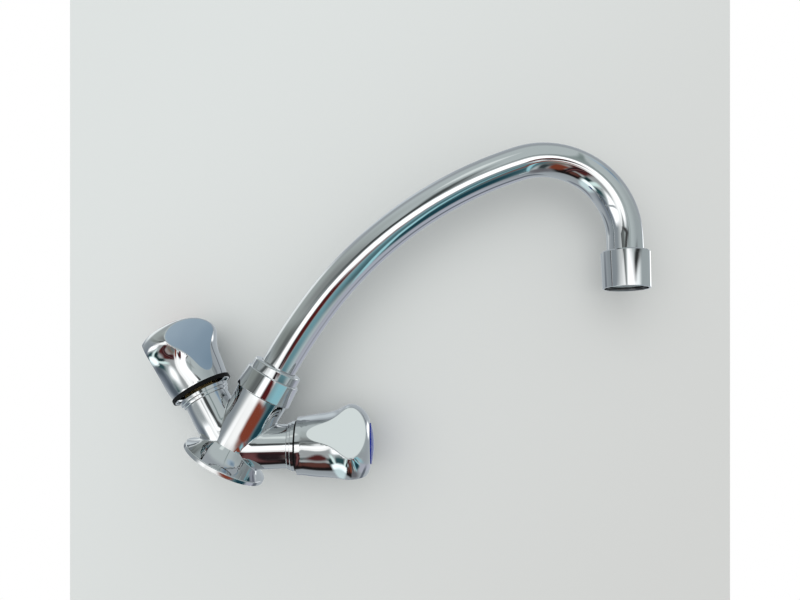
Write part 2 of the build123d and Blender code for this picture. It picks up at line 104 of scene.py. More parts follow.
@dataclass
class Wiring:
    """The nodes and links of one node tree. An input is given a plain value, or a socket to link it to."""

    tree: bpy.types.NodeTree

    def feed(self, socket: bpy.types.NodeSocket, value: object) -> None:
        """Set an input or link it.

        Args:
            socket: The input.
            value: A plain value, or the socket to link.
        """
        if isinstance(value, bpy.types.NodeSocket):
            self.tree.links.new(value, socket)
        else:
            socket.default_value = value

    def fill(self, node: bpy.types.Node, inputs: dict[str | int, object]) -> bpy.types.Node:
        """Set or link a node's inputs.

        Args:
            node: The node.
            inputs: Its inputs, by name or number.

        Returns:
            The node.
        """
        for key, value in inputs.items():
            self.feed(node.inputs[key], value)
        return node

    def add(self, kind: str, inputs: dict[str | int, object] | None = None) -> bpy.types.Node:
        """Add a node of a type, with its inputs by name or number."""
        return self.fill(self.tree.nodes.new(kind), inputs or {})

    def place(self, group: bpy.types.NodeTree, inputs: dict[str, object]) -> bpy.types.Node:
        """Place a shared group.

        Args:
            group: The group.
            inputs: Its inputs by name.

        Returns:
            The group's node.
        """
        node = self.tree.nodes.new("ShaderNodeGroup")
        node.node_tree = group
        return self.fill(node, inputs)

    def calculate(self, operation: str, *values: object) -> bpy.types.NodeSocket:
        """Add one math node.

        Args:
            operation: The node's operation.
            values: Its inputs in order.

        Returns:
            The node's output.
        """
        node = self.tree.nodes.new("ShaderNodeMath")
        node.operation = operation
        for socket, value in zip(node.inputs, values):
            self.feed(socket, value)
        return node.outputs["Value"]

    def ramp(
        self, value: object, start: object, end: object, low: float = 0.0, high: float = 1.0
    ) -> bpy.types.NodeSocket:
        """Go smoothly from one share to another between two values.

        Args:
            value: The value.
            start: The value at which the ramp starts.
            end: The value at which it ends.
            low: The share at the start.
            high: The share at the end.

        Returns:
            The socket that gives the share.
        """
        inputs = {"Value": value, "From Min": start, "From Max": end, "To Min": low, "To Max": high}
        node = self.add("ShaderNodeMapRange", inputs)
        node.interpolation_type = "SMOOTHSTEP"
        return node.outputs["Result"]

    def mix(self, share: object, first: object, second: object, blend: str = "MIX") -> bpy.types.NodeSocket:
        """Mix two colours.

        Args:
            share: The share of the second colour.
            first: The first colour.
            second: The second colour.
            blend: How they are mixed.

        Returns:
            The socket that gives the mixed colour.
        """
        node = self.tree.nodes.new("ShaderNodeMix")
        node.data_type = "RGBA"
        node.blend_type = blend
        self.fill(node, {"Factor": share, MIX_FIRST: first, MIX_SECOND: second})
        return node.outputs[MIX_RESULT]

    def mix_shaders(self, share: object, first: object, second: object) -> bpy.types.NodeSocket:
        """Mix two shaders by the share of the second one."""
        return self.add("ShaderNodeMixShader", {"Fac": share, 1: first, 2: second}).outputs["Shader"]


def open_group(
    name: str, inputs: dict[str, float | Socket], outputs: dict[str, Socket]
) -> tuple[Wiring, bpy.types.bpy_prop_collection, bpy.types.bpy_prop_collection]:
    """Start a shared node group.

    Args:
        name: The group's name.
        inputs: For each input its first number, or its kind where it isn't a number.
        outputs: The kind of each output.

    Returns:
        The group's wiring, the sockets that give its inputs, and the sockets that take its outputs.
    """
    group = bpy.data.node_groups.new(name, "ShaderNodeTree")
    for label, value in inputs.items():
        kind = value if isinstance(value, Socket) else Socket.NUMBER
        socket = group.interface.new_socket(name=label, in_out="INPUT", socket_type=kind.value)
        if not isinstance(value, Socket):
            socket.default_value = value
    for label, kind in outputs.items():
        group.interface.new_socket(name=label, in_out="OUTPUT", socket_type=kind.value)
    wiring = Wiring(group)
    return wiring, wiring.add("NodeGroupInput").outputs, wiring.add("NodeGroupOutput").inputs


def polish_group() -> bpy.types.NodeTree:
    """Build the group that gives polished metal its slight waves and its wiped, uneven gloss.

    Returns:
        The node group, with outputs Roughness and Height.
    """
    inputs = {"Wave Scale": 40.0, "Smear Scale": 90.0, "Least": 0.02, "Most": 0.06}
    outputs = {"Roughness": Socket.NUMBER, "Height": Socket.NUMBER}
    wiring, given, result = open_group("polish", inputs, outputs)
    place = wiring.add("ShaderNodeTexCoord").outputs["Object"]
    wave_inputs = {"Vector": place, "Scale": given["Wave Scale"], "Detail": 1.0}
    smear_inputs = {"Vector": place, "Scale": given["Smear Scale"], "Detail": 5.0, "Distortion": 0.8}
    wave = wiring.add("ShaderNodeTexNoise", wave_inputs).outputs["Fac"]
    smear = wiring.add("ShaderNodeTexNoise", smear_inputs).outputs["Fac"]
    gloss_inputs = {"Value": smear, "To Min": given["Least"], "To Max": given["Most"]}
    gloss = wiring.add("ShaderNodeMapRange", gloss_inputs).outputs["Result"]
    wiring.feed(result["Roughness"], gloss)
    wiring.feed(result["Height"], wave)
    return wiring.tree


def grain_group() -> bpy.types.NodeTree:
    """Build the group that gives moulded plastic, rubber and plain metal a fine grain.

    Returns:
        The node group, with outputs Roughness, Height and Shade.
    """
    inputs = {"Scale": 900.0, "Least": 0.4, "Most": 0.6, "Dark": 0.85}
    outputs = {"Roughness": Socket.NUMBER, "Height": Socket.NUMBER, "Shade": Socket.NUMBER}
    wiring, given, result = open_group("grain", inputs, outputs)
    place = wiring.add("ShaderNodeTexCoord").outputs["Object"]
    grain_inputs = {"Vector": place, "Scale": given["Scale"], "Detail": 4.0}
    grain = wiring.add("ShaderNodeTexNoise", grain_inputs).outputs["Fac"]
    spreads = {"Roughness": (given["Least"], given["Most"]), "Shade": (given["Dark"], 1.0)}
    for label, (low, high) in spreads.items():
        spread = wiring.add("ShaderNodeMapRange", {"Value": grain, "To Min": low, "To Max": high})
        wiring.feed(result[label], spread.outputs["Result"])
    wiring.feed(result["Height"], grain)
    return wiring.tree


@dataclass(frozen=True)
class Groups:
    """The node groups that the tap's finishes share."""

    polish: bpy.types.NodeTree
    grain: bpy.types.NodeTree


@dataclass
class NodeMaterial:
    """A node material while it is built."""

    name: str
    material: bpy.types.Material = field(init=False)
    shader: bpy.types.Node = field(init=False)
    wiring: Wiring = field(init=False)

    def __post_init__(self) -> None:
        """Start the material with its Principled BSDF."""
        self.material = bpy.data.materials.new(self.name)
        self.material.use_nodes = True
        self.wiring = Wiring(self.material.node_tree)
        self.shader = self.material.node_tree.nodes["Principled BSDF"]

    def give(self, inputs: dict[str, object]) -> None:
        """Set or link the shader's inputs, by name."""
        self.wiring.fill(self.shader, inputs)

    def bump(self, height: bpy.types.NodeSocket, depth: float) -> None:
        """Turn a height into the shader's normal. Depth is the height's full size in metres."""
        node = self.wiring.add("ShaderNodeBump", {"Distance": depth, "Height": height})
        self.give({"Normal": node.outputs["Normal"]})


@dataclass(frozen=True)
class Chrome:
    """Mirror-polished chrome plate, with the slight waves that its base metal leaves."""

    name: str
    colour: tuple[float, float, float] = (0.60, 0.61, 0.62)
    wave_scale: float = 45.0
    wave_depth: float = 0.12 * MM
    smear_scale: float = 120.0
    least: float = 0.015
    most: float = 0.05

    def build(self, groups: Groups) -> bpy.types.Material:
        """Build the material.

        Args:
            groups: The shared node groups.

        Returns:
            The material.
        """
        made = NodeMaterial(self.name)
        values = {
            "Wave Scale": self.wave_scale,
            "Smear Scale": self.smear_scale,
            "Least": self.least,
            "Most": self.most,
        }
        polish = made.wiring.place(groups.polish, values).outputs
        made.give({"Base Color": opaque(self.colour), "Metallic": 1.0, "Roughness": polish["Roughness"]})
        made.bump(polish["Height"], self.wave_depth)
        return made.material


@dataclass(frozen=True)
class Clear:
    """Clear, slightly smeared plastic."""

    name: str
    colour: tuple[float, float, float] = (0.95, 0.97, 1.0)
    refraction: float = 1.45
    least: float = 0.0
    most: float = 0.015

    def build(self, groups: Groups) -> bpy.types.Material:
        """Build the material.

        Args:
            groups: The shared node groups.

        Returns:
            The material.
        """
        made = NodeMaterial(self.name)
        polish = made.wiring.place(groups.polish, {"Least": self.least, "Most": self.most}).outputs
        made.give({"Base Color": opaque(self.colour), "Transmission Weight": 1.0})
        made.give({"IOR": self.refraction, "Roughness": polish["Roughness"]})
        return made.material


@dataclass(frozen=True)
class Plain:
    """Unplated metal, plastic or rubber with a fine grain and a little colour variation."""

    name: str
    colour: tuple[float, float, float]
    metallic: float = 0.0
    scale: float = 900.0
    depth: float = 0.02 * MM
    least: float = 0.4
    most: float = 0.6
    dark: float = 0.85
    specular: float = 0.5

    def build(self, groups: Groups) -> bpy.types.Material:
        """Build the material.

        Args:
            groups: The shared node groups.

        Returns:
            The material.
        """
        made = NodeMaterial(self.name)
        values = {"Scale": self.scale, "Least": self.least, "Most": self.most, "Dark": self.dark}
        grain = made.wiring.place(groups.grain, values).outputs
        tint = made.wiring.mix(1.0, opaque(self.colour), grain["Shade"], "MULTIPLY")
        made.give({"Base Color": tint, "Metallic": self.metallic})
        made.give({"Specular IOR Level": self.specular, "Roughness": grain["Roughness"]})
        made.bump(grain["Height"], self.depth)
        return made.material


@dataclass(frozen=True)
class ButtonPrint(Plain):
    """Even colour under a button's clear cap. The cap gives it its gloss."""

    depth: float = 0.002 * MM
    least: float = 0.5
    most: float = 0.7
    dark: float = 0.96
    specular: float = 0.0


FINISHES = {
    Finish.CAST_CHROME: Chrome("cast_chrome", wave_scale=55.0, wave_depth=0.14 * MM),
    Finish.TURNED_CHROME: Chrome("turned_chrome", wave_depth=0.02 * MM, most=0.04),
    Finish.TUBE_CHROME: Chrome("tube_chrome", wave_scale=30.0, wave_depth=0.10 * MM),
    Finish.KNOB_CHROME: Chrome("knob_chrome", wave_scale=60.0, wave_depth=0.08 * MM),
    Finish.BRASS: Plain("bare_brass", (0.50, 0.36, 0.16), 1.0, scale=400.0, least=0.3, most=0.5, dark=0.6),
    Finish.STEEL: Plain("bare_steel", (0.55, 0.55, 0.54), 1.0, scale=600.0, least=0.25, most=0.4),
    Finish.SCREEN: Plain("screen_steel", (0.50, 0.50, 0.50), 1.0, scale=800.0, least=0.3, most=0.45),
    Finish.RUBBER: Plain(
        "black_rubber", (0.004, 0.004, 0.0045), scale=1500.0, least=0.5, most=0.7, specular=0.12
    ),
    Finish.GLIDE: Plain("glide_plastic", (0.80, 0.79, 0.75), scale=500.0),
    Finish.BLACK_PLASTIC: Plain("black_plastic", (0.015, 0.015, 0.016), scale=1100.0, least=0.3, most=0.45),
    Finish.COLD_BUTTON: ButtonPrint("cold_button", (0.008, 0.030, 0.40)),
    Finish.HOT_BUTTON: ButtonPrint("hot_button", (0.50, 0.008, 0.012)),
    Finish.CLEAR_CAP: Clear("clear_cap"),
}

NODE_FINISHES = {
    Finish.CAST_CHROME: ("mixer_body",),
    Finish.TURNED_CHROME: ("collar_nut", "spout_ferrule", "trim_ring"),
    Finish.TUBE_CHROME: ("spout_tube",),
    Finish.KNOB_CHROME: ("knob",),
    Finish.BRASS: ("spout_sleeve", "bonnet", "spindle", "valve_piston"),
    Finish.STEEL: ("spindle_clip", "washer_screw", "knob_screw"),
    Finish.SCREEN: ("aerator_screen",),
    Finish.RUBBER: (
        "base_seal", "spout_seals", "aerator_washer", "bonnet_seal",
        "skirt_seal", "spindle_seals", "valve_washer",
    ),
    Finish.GLIDE: ("lower_glide_ring", "upper_glide_ring"),
    Finish.BLACK_PLASTIC: ("aerator_shell", "aerator_insert"),
    Finish.COLD_BUTTON: ("cold_index_button",),
    Finish.HOT_BUTTON: ("hot_index_button",),
}


@dataclass(frozen=True)
class SeamSmoother:
    """Lets reflections run on over the seams between a chrome node's smooth faces."""

    weld_gap: float = 0.001 * MM
    sharp_from: float = 30.0
    area_weight: int = 50

    def smooth(self, piece: bpy.types.Object) -> None:
        """Add the modifiers. The node's own mesh stays as it is.

        Args:
            piece: The CAD node's object.
        """
        weld = piece.modifiers.new("weld", "WELD")
        weld.merge_threshold = self.weld_gap
        cut = piece.modifiers.new("cut", "EDGE_SPLIT")
        cut.split_angle = math.radians(self.sharp_from)
        cut.use_edge_sharp = False
        even = piece.modifiers.new("even", "WEIGHTED_NORMAL")
        even.mode = "FACE_AREA_WITH_ANGLE"
        even.weight = self.area_weight


@dataclass
class Dresser:
    """Gives each CAD node its finish."""

    materials: dict[Finish, bpy.types.Material] = field(default_factory=dict)
    seams: SeamSmoother = SeamSmoother()

    def build(self) -> None:
        """Build every material once."""
        groups = Groups(polish_group(), grain_group())
        for finish, recipe in FINISHES.items():
            self.materials[finish] = recipe.build(groups)

    def finish_of(self, node: str) -> Finish:
        """Find the finish of a node.

        Args:
            node: The node's name, with or without its side.

        Returns:
            The finish.
        """
        plain = node.removeprefix("cold_").removeprefix("hot_")
        for finish, names in NODE_FINISHES.items():
            if node in names or plain in names:
                return finish
        raise KeyError(node)

    def dress(self, nodes: dict[str, bpy.types.Object]) -> None:
        """Put each node's finish into its material slot.

        Args:
            nodes: The CAD nodes by name.
        """
        for name, piece in nodes.items():
            finish = self.finish_of(name)
            piece.data.materials.clear()
            piece.data.materials.append(self.materials[finish])
            if finish.value.endswith("chrome"):
                self.seams.smooth(piece)
            log.info("%s: %s", name, finish.value)


FaceTest = Callable[[Vector, Vector], bool]


def looks_up(centre: Vector, normal: Vector) -> bool:
    """Tell whether a face looks up."""
    return normal.z > UPRIGHT


def looks_down(centre: Vector, normal: Vector) -> bool:
    """Tell whether a face looks down."""
    return normal.z < -UPRIGHT


@dataclass
class Workpiece:
    """A new piece while it is shaped in its own frame, in metres."""

    name: str
    item: bpy.types.Object = field(init=False)

    @staticmethod
    def clear_selection() -> None:
        """Deselect every object."""
        bpy.ops.object.select_all(action="DESELECT")

    def take(self) -> None:
        """Take the primitive that was just added as this piece."""
        self.item = bpy.context.object
        self.item.name = self.name
        self.item.data.name = self.name

    def pick(self, test: FaceTest) -> None:
        """Select the faces that pass a test, in edit mode.

        Args:
            test: Whether a face with this centre and this normal is wanted.
        """
        bpy.ops.mesh.select_mode(type="FACE")
        bpy.ops.mesh.select_all(action="DESELECT")
        mesh = bmesh.from_edit_mesh(self.item.data)
        for face in mesh.faces:
            face.select_set(test(face.calc_center_median(), face.normal))
        bmesh.update_edit_mesh(self.item.data)

    def pick_open_edge(self) -> None:
        """Select the edges that border one face only, in edit mode."""
        bpy.ops.mesh.select_mode(type="EDGE")
        bpy.ops.mesh.select_all(action="DESELECT")
        mesh = bmesh.from_edit_mesh(self.item.data)
        for edge in mesh.edges:
            edge.select_set(edge.is_boundary)
        bmesh.update_edit_mesh(self.item.data)

    def settle(self, place: Matrix, dress: bpy.types.Material, smooth_to: float) -> bpy.types.Object:
        """Put the finished shape in its place, with its place in its mesh.

        Args:
            place: From the piece's own frame to the tap's.
            dress: The material.
            smooth_to: Angle in degrees up to which edges look smooth.

        Returns:
            The finished object.
        """
        self.clear_selection()
        self.item.select_set(True)
        bpy.context.view_layer.objects.active = self.item
        self.item.matrix_world = place
        bpy.ops.object.transform_apply(location=True, rotation=True, scale=True)
        bpy.ops.object.shade_smooth_by_angle(angle=math.radians(smooth_to))
        self.item.data.materials.append(dress)
        self.clear_selection()
        log.info("%s: %d faces", self.name, len(self.item.data.polygons))
        return self.item


def frame_along(origin: Vector, heading: Vector) -> Matrix:
    """Work out the frame that starts at a point with its Z along a heading."""
    return Matrix.Translation(origin) @ heading.to_track_quat("Z", "Y").to_matrix().to_4x4()


@dataclass
class IndexButton:
    """Clear domed cap over a coloured disc, snapped into a knob's end.

    Heights are along the valve's axis, from the arm's end. The arm's tilt is in degrees from straight up,
    and its sweep is in degrees towards the back.
    """

    side: Side
    arm_height: float = 9.35 * MM
    arm_length: float = 31.0 * MM
    arm_tilt: float = 59.7
    arm_sweep: float = 2.8
    foot: float = 44.70 * MM
    seam: float = 46.00 * MM
    shoulder: float = 46.12 * MM
    crown: float = 47.65 * MM
    radius: float = 11.2 * MM
    disc_radius: float = 11.15 * MM
    print_radius: float = 11.0 * MM
    print_rise: float = 0.12 * MM
    print_gap: float = 0.01 * MM
    skirt_radius: float = 7.9 * MM
    skirt_wall: float = 1.2 * MM
    skirt_length: float = 4.0 * MM
    segments: int = 96
    smooth_to: float = 30.0

    def place(self) -> Matrix:
        """Work out the frame on this side's valve axis.

        Returns:
            The matrix from that frame to the tap's.
        """
        tilt, sweep = math.radians(self.arm_tilt), math.radians(self.arm_sweep)
        outward, back = math.sin(tilt) * math.cos(sweep), math.sin(tilt) * math.sin(sweep)
        heading = Vector((self.side.value * outward, back, math.cos(tilt)))
        return frame_along(Vector((0.0, 0.0, self.arm_height)) + heading * self.arm_length, heading)

    def model_cap(self, dress: bpy.types.Material) -> bpy.types.Object:
        """Model the clear cap as the top of a ball with a short straight wall.

        Args:
            dress: The material.

        Returns:
            The cap.
        """
        rise = self.crown - self.shoulder
        ball = (self.radius**2 + rise**2) / (2 * rise)
        cap = Workpiece(f"{self.side.label}_index_cap")
        cap.clear_selection()
        bpy.ops.mesh.primitive_uv_sphere_add(
            segments=self.segments,
            ring_count=2 * self.segments,
            radius=ball,
            location=(0, 0, self.crown - ball),
        )
        cap.take()
        bpy.ops.object.transform_apply(location=True)
        bpy.ops.object.mode_set(mode="EDIT")
        bpy.ops.mesh.select_all(action="SELECT")
        bpy.ops.mesh.bisect(plane_co=(0, 0, self.shoulder), plane_no=(0, 0, 1), clear_inner=True)
        cap.pick_open_edge()
        drop = self.seam - self.shoulder
        bpy.ops.mesh.extrude_edges_move(TRANSFORM_OT_translate={"value": (0, 0, drop)})
        bpy.ops.mesh.edge_face_add()
        bpy.ops.mesh.select_all(action="SELECT")
        bpy.ops.mesh.normals_make_consistent(inside=False)
        bpy.ops.object.mode_set(mode="OBJECT")
        finished = cap.settle(self.place(), dress, self.smooth_to)
        finished.visible_shadow = False
        finished.visible_diffuse = False
        return finished

    def model_disc(self, dress: bpy.types.Material) -> bpy.types.Object:
        """Model the coloured disc with its raised print and the skirt that snaps into the knob.

        Args:
            dress: The material.

        Returns:
            The disc.
        """
        top = self.seam - self.print_rise - self.print_gap
        disc = Workpiece(f"{self.side.label}_index_disc")
        disc.clear_selection()
        bpy.ops.mesh.primitive_cylinder_add(
            vertices=self.segments,
            radius=self.disc_radius,
            depth=top - self.foot,
            location=(0, 0, (top + self.foot) / 2),
        )
        disc.take()
        bpy.ops.object.transform_apply(location=True)
        bpy.ops.object.mode_set(mode="EDIT")
        disc.pick(looks_up)
        bpy.ops.mesh.inset(thickness=self.disc_radius - self.print_radius)
        bpy.ops.mesh.extrude_region_move(TRANSFORM_OT_translate={"value": (0, 0, self.print_rise)})
        disc.pick(looks_down)
        bpy.ops.mesh.inset(thickness=self.disc_radius - self.skirt_radius)
        bpy.ops.mesh.inset(thickness=self.skirt_wall)
        inner, outer = self.skirt_radius - self.skirt_wall, self.skirt_radius
        disc.pick(lambda centre, normal: looks_down(centre, normal) and inner < centre.xy.length < outer)
        bpy.ops.mesh.extrude_region_move(TRANSFORM_OT_translate={"value": (0, 0, -self.skirt_length)})
        bpy.ops.object.mode_set(mode="OBJECT")
        return disc.settle(self.place(), dress, self.smooth_to)

    def build(self, dresser: Dresser) -> None:
        """Model and dress both pieces and put them in the place of the CAD button.

        Args:
            dresser: Holds the finishes.
        """
        cold = self.side is Side.COLD
        tint = dresser.materials[Finish.COLD_BUTTON if cold else Finish.HOT_BUTTON]
        for piece in (self.model_cap(dresser.materials[Finish.CLEAR_CAP]), self.model_disc(tint)):
            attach(piece, f"{self.side.label}_handle")
            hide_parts(f"{self.side.label}_index_button")


@dataclass
class OutletMesh:
    """Woven wire mesh that lies on the aerator's lip. Heights are from the ferrule's top."""

    ferrule_top: tuple[float, float, float] = (142.333 * MM, 0.0, 214.85 * MM)
    heading: tuple[float, float, float] = (0.473, 0.0, -0.881)
    low: float = 19.12 * MM
    high: float = 19.58 * MM
    radius: float = 10.3 * MM
    rim_width: float = 0.7 * MM
    wires: int = 27
    wire: float = 0.24 * MM
    wire_smooth_to: float = 60.0
    rim_round: float = 0.15 * MM
    rim_round_steps: int = 3
    rim_smooth_to: float = 40.0
    segments: int = 72

    def place(self) -> Matrix:
        """Work out the frame on the outlet's axis."""
        return frame_along(Vector(self.ferrule_top), Vector(self.heading).normalized())

    def model_weave(self, dress: bpy.types.Material) -> bpy.types.Object:
        """Model the wires as a round grid, woven by lifting every other crossing.

        Args:
            dress: The material.

        Returns:
            The woven wires.
        """
        weave = Workpiece("outlet_weave")
        weave.clear_selection()
        middle = (self.low + self.high) / 2
        bpy.ops.mesh.primitive_grid_add(
            x_subdivisions=self.wires,
            y_subdivisions=self.wires,
            size=2 * self.radius,
            location=(0, 0, middle),
        )
        weave.take()
        bpy.ops.object.transform_apply(location=True)
        bpy.ops.object.mode_set(mode="EDIT")
        edge = self.radius - self.rim_width / 2
        weave.pick(lambda centre, normal: centre.xy.length > edge)
        bpy.ops.mesh.delete(type="FACE")
        bpy.ops.object.mode_set(mode="OBJECT")
        step = 2 * self.radius / self.wires
        sway = (self.high - self.low - self.wire) / 2
        for corner in weave.item.data.vertices:
            odd = round((corner.co.x + corner.co.y + 2 * self.radius) / step) % 2
            corner.co.z += sway if odd else -sway
        frame_wires = weave.item.modifiers.new("wires", "WIREFRAME")
        frame_wires.thickness = self.wire
        frame_wires.use_even_offset = False
        bpy.ops.object.modifier_apply(modifier=frame_wires.name)
        return weave.settle(self.place(), dress, self.wire_smooth_to)

    def model_rim(self, dress: bpy.types.Material) -> bpy.types.Object:
        """Model the pressed rim that binds the wires' ends.

        Args:
            dress: The material.

        Returns:
            The rim.
        """
        rim = Workpiece("outlet_mesh_rim")
        rim.clear_selection()
        bpy.ops.mesh.primitive_cylinder_add(
            vertices=self.segments,
            radius=self.radius,
            depth=self.high - self.low,
            end_fill_type="NOTHING",
            location=(0, 0, (self.low + self.high) / 2),
        )
        rim.take()
        bpy.ops.object.transform_apply(location=True)
        wall = rim.item.modifiers.new("wall", "SOLIDIFY")
        wall.thickness = self.rim_width
        wall.offset = -1.0
        bpy.ops.object.modifier_apply(modifier=wall.name)
        round_over = rim.item.modifiers.new("round_over", "BEVEL")
        round_over.width = self.rim_round
        round_over.segments = self.rim_round_steps
        bpy.ops.object.modifier_apply(modifier=round_over.name)
        return rim.settle(self.place(), dress, self.rim_smooth_to)

    def build(self, dresser: Dresser) -> None:
        """Model and dress the mesh and put it in the place of the CAD screen.

        Args:
            dresser: Holds the finishes.
        """
        steel = dresser.materials[Finish.SCREEN]
        for piece in (self.model_weave(steel), self.model_rim(steel)):
            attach(piece, "spout")
            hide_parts("aerator_screen")


@dataclass
class HoleThread:
    """Screw thread in the wall of one hole in the underside."""

    name: str
    across: float
    along: float
    wall: float
    depth: float
    pitch: float
    sunk: float = 0.06 * MM
    ridge: float = 0.26 * MM
    foot_share: float = 0.86
    start: float = 0.9 * MM
    spare_turns: float = 0.5
    steps: int = 40
    smooth_to: float = 40.0

    def build(self, dress: bpy.types.Material) -> None:
        """Model the thread as a three-sided ridge wound up the hole.

        Args:
            dress: The material.
        """
        thread = Workpiece(self.name)
        thread.clear_selection()
        bpy.ops.mesh.primitive_circle_add(vertices=3, radius=self.ridge)
        thread.take()
        foot, crest = self.wall + self.sunk, self.wall - self.ridge
        half = self.foot_share * self.pitch / 2
        corners = ((foot, -half), (crest, 0.0), (foot, half))
        for corner, (radius, rise) in zip(thread.item.data.vertices, corners):
            corner.co = (radius, 0.0, self.start + rise)
        wind = thread.item.modifiers.new("wind", "SCREW")
        wind.screw_offset = self.pitch
        wind.iterations = math.floor((self.depth - self.start) / self.pitch - self.spare_turns)
        wind.steps = wind.render_steps = self.steps
        wind.use_smooth_shade = False
        bpy.ops.object.modifier_apply(modifier=wind.name)
        bpy.ops.object.mode_set(mode="EDIT")
        thread.pick_open_edge()
        bpy.ops.mesh.fill_holes(sides=3)
        bpy.ops.mesh.select_all(action="SELECT")
        bpy.ops.mesh.normals_make_consistent(inside=False)
        bpy.ops.object.mode_set(mode="OBJECT")
        place = Matrix.Translation((self.across, self.along, 0.0))
        piece = thread.settle(place, dress, self.smooth_to)
        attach(piece, "body")


def inlet_thread(side: Side) -> HoleThread:
    """Size the thread of one side's inlet.

    Args:
        side: The side.

    Returns:
        The thread.
    """
    return HoleThread(
        name=f"{side.label}_inlet_thread",
        across=side.value * 7.0 * MM,
        along=-2.5 * MM,
        wall=4.46 * MM,
        depth=10.0 * MM,
        pitch=1.0 * MM,
    )


STUD_THREAD = HoleThread(
    name="stud_thread", across=0.0, along=7.5 * MM, wall=3.32 * MM, depth=12.0 * MM, pitch=1.25 * MM
)


def mirrored_light(
    seen: tuple[int, int, int], reflectance: float, brightness: float = 1.0
) -> tuple[float, ...]:
    """Work out the light in the room that the chrome shows as a colour.

    Args:
        seen: The colour that the chrome shows, 0 to 255.
        reflectance: Share of the light that the chrome mirrors.
        brightness: How many times brighter than that colour the light is.

    Returns:
        The light's colour with its alpha.
    """
    linear = Color([part / 255 for part in seen]).from_srgb_to_scene_linear()
    return opaque(tuple(part / reflectance * brightness for part in linear))


@dataclass(frozen=True)
class RoomPatch:
    """One rounded patch of the room that the chrome reflects.

    Places and sizes are in degrees from the user's side, to the right and up. Soft is a share of the size.
    Seen is the colour that the chrome shows, 0 to 255, and brightness is for light beyond it.
    """

    name: str
    right: float
    up: float
    half_along: float
    half_across: float
    roll: float
    soft: float
    seen: tuple[int, int, int]
    brightness: float = 1.0


